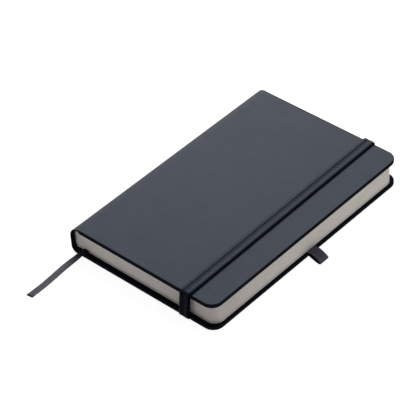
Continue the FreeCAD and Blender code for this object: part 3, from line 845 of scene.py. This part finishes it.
def strap(name, path, lean, side, half_width, thickness, profile, materials):
    """A flat woven strap swept along a path in a plane of constant X or Y.

    path is a list of (point, outward normal), lean the sideways shift at each point, and profile a
    list of (place across from -1 to 1, depth under the full thickness, painted shade in the valleys).
    """
    surface = Surface()
    rows = []
    length = 0.0
    for i, (point, normal) in enumerate(path):
        if i:
            length += (point - path[i - 1][0]).length
        outer, inner, places = [], [], []
        for a, depth, valley_shade in profile:
            base = point + side * (a * half_width) + lean[i]
            edge = EDGE_THINNING * max(0.0, (abs(a) - 1 + EDGE_SHARE) / EDGE_SHARE) ** 2
            outer.append(surface.point(base + normal * (thickness / 2 - depth), valley_shade))
            inner.append(surface.point(base - normal * (thickness / 2 - edge), valley_shade))
            places.append((length, a * half_width))
        rows.append((outer, inner, places, 0 if normal.z > UPWARD else len(materials) - 1))
    for (out0, in0, place0, slot), (out1, in1, place1, _) in zip(rows, rows[1:]):
        surface.strip(out0, out1, place0, place1, slot)
        surface.strip(in1, in0, place1, place0, slot)
        # The side walls take the last material, the darker copy that paints shade
        surface.face((out0[0], in0[0], in1[0], out1[0]), [place0[0]] * 4, len(materials) - 1)
        surface.face((out1[-1], in1[-1], in0[-1], out0[-1]), [place0[-1]] * 4, len(materials) - 1)
    for (out, under, place, slot), first in ((rows[0], True), (rows[-1], False)):
        ring = out + under[::-1]
        surface.face(ring if first else ring[::-1], [place[0]] * len(ring), slot)
    return surface.make(name, materials)


def cross_profile(stops, count):
    """A profile of count even steps, smoothly joining stops of (place across, depth, painted shade)."""
    rows = []
    for i in range(count + 1):
        a = -1 + 2 * i / count
        after = next(k for k in range(1, len(stops)) if a <= stops[k][0] + TINY)
        (a0, d0, h0), (a1, d1, h1) = stops[after - 1], stops[after]
        t = smooth((a - a0) / (a1 - a0))
        rows.append((a, d0 + (d1 - d0) * t, h0 + (h1 - h0) * t))
    return rows


def rounded_path(corners, radii):
    """Points along straight runs joined by arcs, in a plane; the first and last radius aren't used."""
    points = []
    for i, corner in enumerate(corners):
        if i in (0, len(corners) - 1):
            points.append(corner)
            continue
        before = (corners[i - 1] - corner).normalized()
        after = (corners[i + 1] - corner).normalized()
        half = before.angle(after) / 2
        setback = radii[i] / math.tan(half)
        centre = corner + (before + after).normalized() * (radii[i] / math.sin(half))
        start = corner + before * setback - centre
        end = corner + after * setback - centre
        angle = start.angle(end)
        for k in range(BEND_STEPS + 1):
            t = k / BEND_STEPS
            direction = (start * math.sin((1 - t) * angle) + end * math.sin(t * angle)) / math.sin(angle)
            points.append(centre + direction)
    return points


def with_normals(points, side):
    """Pairs each point of a planar path with the normal on its outer side."""
    pairs = []
    for i, point in enumerate(points):
        ahead = (points[min(i + 1, len(points) - 1)] - points[max(i - 1, 0)]).normalized()
        pairs.append((point, side.cross(ahead).normalized()))
    return pairs


def densify(points, longest):
    """Adds points to a path so that no step is longer than longest."""
    dense = [points[0]]
    for a, b in zip(points, points[1:]):
        pieces = max(1, math.ceil((b - a).length / longest))
        dense += [a.lerp(b, k / pieces) for k in range(1, pieces + 1)]
    return dense


# The band across its width: (place across from -1 to 1, depth, painted shade in the valleys and on the rolled
# edges)
BAND_PROFILE = [
    (-1.0, 0.40, 1.0), (-0.90, 0.10, 0.25), (-0.72, 0.0, 0.0), (-0.50, 0.05, 0.25), (-0.32, 0.20, 0.9),
    (-0.16, 0.06, 0.3), (-0.02, 0.05, 0.25), (0.08, 0.11, 0.6), (0.20, 0.02, 0.1), (0.40, 0.0, 0.0),
    (0.62, 0.02, 0.1), (0.80, 0.12, 0.6), (0.92, 0.28, 1.0), (1.0, 0.52, 1.0),
]
BAND_COLUMNS = 60
BAND_THICKNESS = 1.16
BAND_TRIM = 0.03
BAND_CLEARANCE = 0.02
BAND_STEP = 6.0
SLOT_BEND = 0.5
UNDER_BEND = 0.95
OVER_BEND = 1.0

# The band's ends turn up into their slots, and it stands out by BAND_SWELL past its CAD solid's ends
SLOT_INSET = 1.5
SLOT_RISE = 1.0
SLOT_RUN = 0.9
SLOT_LEAD = 0.2
BAND_SWELL = 0.1

# The band lies a little askew: its shift to the fore edge at mid length, and how much more at the tail
# and less at the head; the shift grows with height, from SKEW_START up
BAND_SHIFT = 0.58
BAND_SKEW = 0.8
SKEW_START = 1.5


def make_band():
    """Closed round the book: from the slot at the head, over the front cover, to the slot at the tail."""
    x = (band_low.x + band_high.x) / 2
    outer_y, low_z = band_high.y - BAND_THICKNESS / 2 + BAND_SWELL, BAND_THICKNESS / 2
    top_z = CASE_TOP + BAND_CLEARANCE + BAND_THICKNESS / 2
    slot_y = CHANNEL_END + SLOT_INSET
    head_half = [(slot_y - SLOT_RUN, SLOT_RISE), (slot_y + SLOT_LEAD, low_z),
                 (outer_y, low_z), (outer_y, top_z)]
    tail_half = [(-y, z) for y, z in reversed(head_half)]
    corners = [Vector((x, y, z)) for y, z in head_half + tail_half]
    radii = [0, SLOT_BEND, UNDER_BEND, OVER_BEND]
    points = densify(rounded_path(corners, radii + radii[::-1]), BAND_STEP)
    path = with_normals(points, Vector((-1, 0, 0)))
    lean = []
    for point, _ in path:
        height = smooth((point.z - SKEW_START) / (top_z - SKEW_START))
        slant = (-point.y / HALF_LENGTH) * BAND_SKEW + BAND_SHIFT
        lean.append(Vector((height * slant, 0, 0)))
    half_width = (band_high.x - band_low.x) / 2 - BAND_TRIM
    band = strap("closure_band", path, lean, Vector((1, 0, 0)), half_width, BAND_THICKNESS,
                 cross_profile(BAND_PROFILE, BAND_COLUMNS), [elastic, elastic_shaded_copy])
    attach(band, "elastic_band")
    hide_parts("elastic_band")
    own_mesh(band)


make_band()


# The loop's path from above its tab, out to the tip and back, as (x, z)
LOOP_ROUTE = [
    (43.4, 1.80), (45.3, 1.84), (46.3, 2.10), (47.3, 2.62), (49.2, 2.98), (51.6, 2.90), (53.8, 2.40),
    (55.2, 1.62), (55.55, 0.85), (54.6, 0.27), (51.8, 0.26), (48.8, 0.42), (47.35, 0.95), (46.4, 1.34),
    (44.5, 1.36),
]
LOOP_ORDER = 4
LOOP_STEPS = 8
LOOP_PLY = 0.42
LOOP_HALF_WIDTH = 3.12
LOOP_SHIFT = 0.1

# The loop leans to the tail by LOOP_SKEW at its tip, starting from LOOP_LEAN_START along X
LOOP_SKEW = -1.1
LOOP_LEAN_START = 46.6

# Its ribs, the depth of the valleys between them and of the rolled edge, and the edge's share
LOOP_RIBS = 5
RIB_COLUMNS = 12
RIB_SHARPNESS = 1.5
RIB_DEPTH = 0.10
ROLL_DEPTH = 0.10
ROLL_SHARE = 0.07


def ribbed_profile():
    """The loop across its width, as (place across, depth, painted shade in the valleys)."""
    rows = []
    count = RIB_COLUMNS * LOOP_RIBS
    for i in range(count + 1):
        a = -1 + 2 * i / count
        valley = (0.5 + 0.5 * math.cos((a + 1) * LOOP_RIBS * math.pi)) ** RIB_SHARPNESS
        roll = max(0.0, (abs(a) - 1 + ROLL_SHARE) / ROLL_SHARE) ** 2
        rows.append((a, RIB_DEPTH * valley + ROLL_DEPTH * roll, valley))
    return rows


def make_pen_loop():
    """One strip of elastic: out over the cover's edge, arched to the tip and back under."""
    low, high = node_box("pen_loop")
    y = (low.y + high.y) / 2 + LOOP_SHIFT
    points = steered_line("loop_route", [(x, y, z) for x, z in LOOP_ROUTE], LOOP_ORDER, LOOP_STEPS)
    path = with_normals(points, Vector((0, -1, 0)))
    lean = []
    for point, _ in path:
        share = smooth((point.x - LOOP_LEAN_START) / (high.x - LOOP_LEAN_START))
        lean.append(Vector((0, LOOP_SKEW * share, 0)))
    loop = strap("pen_loop_strap", path, lean, Vector((0, 1, 0)), LOOP_HALF_WIDTH, LOOP_PLY,
                 ribbed_profile(), [loop_elastic, elastic_shaded_copy])
    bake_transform(loop)
    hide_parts("pen_loop", "pen_loop_tab")


make_pen_loop()


# ---------------------------------------------------------------- CAD nodes shown as they are

NODE_MATERIALS = {
    "front_board": board, "back_board": board,
    "front_pastedown": endpaper, "back_pastedown": endpaper,
    "front_flyleaf": endpaper, "back_flyleaf": endpaper,
    "front_spine_lining": gauze, "back_spine_lining": gauze,
    "front_sewing_thread": thread, "back_sewing_thread": thread,
    "band_anchor_tail": elastic, "band_anchor_head": elastic,
    "ribbon_inside": satin,
}
for name, material in NODE_MATERIALS.items():
    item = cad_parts[name]
    for slot in item.material_slots:
        slot.material = material


# ---------------------------------------------------------------- studio

# Lengths in this section are in metres
FLOOR_HALF_SIZE = 12.0
FLOOR_LEVEL = -0.0001


def add_floor():
    mesh = bpy.data.meshes.new("floor")
    corners = [(x * FLOOR_HALF_SIZE, y * FLOOR_HALF_SIZE, FLOOR_LEVEL) for x, y in
               ((-1, -1), (1, -1), (1, 1), (-1, 1))]
    mesh.from_pydata(corners, [], [(0, 1, 2, 3)])
    floor = bpy.data.objects.new("floor", mesh)
    scene.collection.objects.link(floor)
    n = Nodes("floor")
    n.set(Base_Color=(0.30, 0.30, 0.30, 1.0), Roughness=0.9, Emission_Color=(1.0, 1.0, 1.0, 1.0),
          Emission_Strength=0.92)
    n.shader.inputs["Specular IOR Level"].default_value = 0.0
    mesh.materials.append(n.material)


def add_light(name, direction, distance, width, height, power):
    """A soft box that faces the origin from a direction."""
    data = bpy.data.lights.new(name, "AREA")
    data.shape = "RECTANGLE"
    data.size, data.size_y = width, height
    data.energy = power
    light = bpy.data.objects.new(name, data)
    scene.collection.objects.link(light)
    away = Vector(direction).normalized()
    light.location = away * distance
    light.rotation_mode = "QUATERNION"
    light.rotation_quaternion = away.to_track_quat("Z", "Y")


add_floor()
add_light("back_softbox", (-0.523, 0.544, 0.656), 1.3, 0.8, 0.8, 13.2)
add_light("back_sweep", (-0.78, 0.543, 0.29), 1.35, 1.1, 0.55, 3.6)
add_light("right_softbox", (0.80, 0.58, 0.46), 1.1, 0.7, 0.7, 3.0)
world = bpy.data.worlds.new("studio")
world.use_nodes = True
background = world.node_tree.nodes["Background"]
background.inputs["Color"].default_value = (1.0, 1.0, 1.0, 1.0)
background.inputs["Strength"].default_value = 0.22
scene.world = world
scene.view_settings.view_transform = "Standard"
